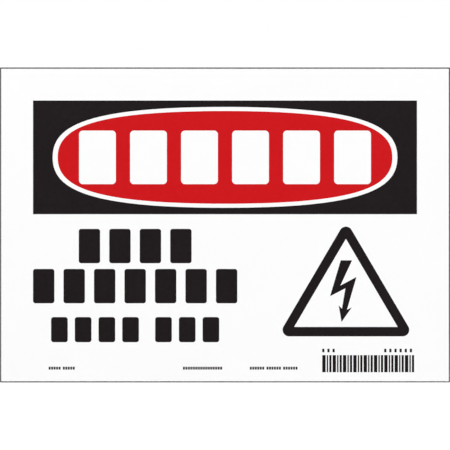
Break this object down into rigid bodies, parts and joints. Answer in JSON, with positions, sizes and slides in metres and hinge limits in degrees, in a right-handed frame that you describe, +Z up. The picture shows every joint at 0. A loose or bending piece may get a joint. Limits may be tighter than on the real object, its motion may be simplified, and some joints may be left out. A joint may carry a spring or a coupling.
{
  "type": "safety sign",
  "caption": "Flat printed vinyl safety sign that sticks to a door or panel by its back: black header with a blunt red oval, rows of plain blocks, and a rounded triangle with a lightning bolt.",
  "frame": {"origin": "centre of the sheet's back face, which sticks to the door or panel", "axes": "+X to the right as the sign is read, +Y out of the back towards the panel, +Z up; the print faces -Y"},
  "size_m": [0.254, 0.0003, 0.1778],
  "materials": {
    "white_vinyl": "semi-gloss white calendered vinyl, with a matte off-white paper liner as its back",
    "black_ink": "satin screen-printed black ink",
    "red_ink": "satin screen-printed safety red ink",
    "edge_ink": "satin black hairline at the cut edge",
    "small_print_ink": "satin black ink in small bars"
  },
  "bodies": {
    "root": {"sheet": "white_vinyl", "edge_line": "edge_ink", "header_panel": "black_ink", "red_oval": "red_ink", "message_row_1": "black_ink", "message_row_2": "black_ink", "message_row_3": "black_ink", "warning_triangle": "black_ink", "lightning_bolt": "black_ink", "ruled_patch": "small_print_ink", "foot_bars": "small_print_ink"}
  },
  "joints": []
}
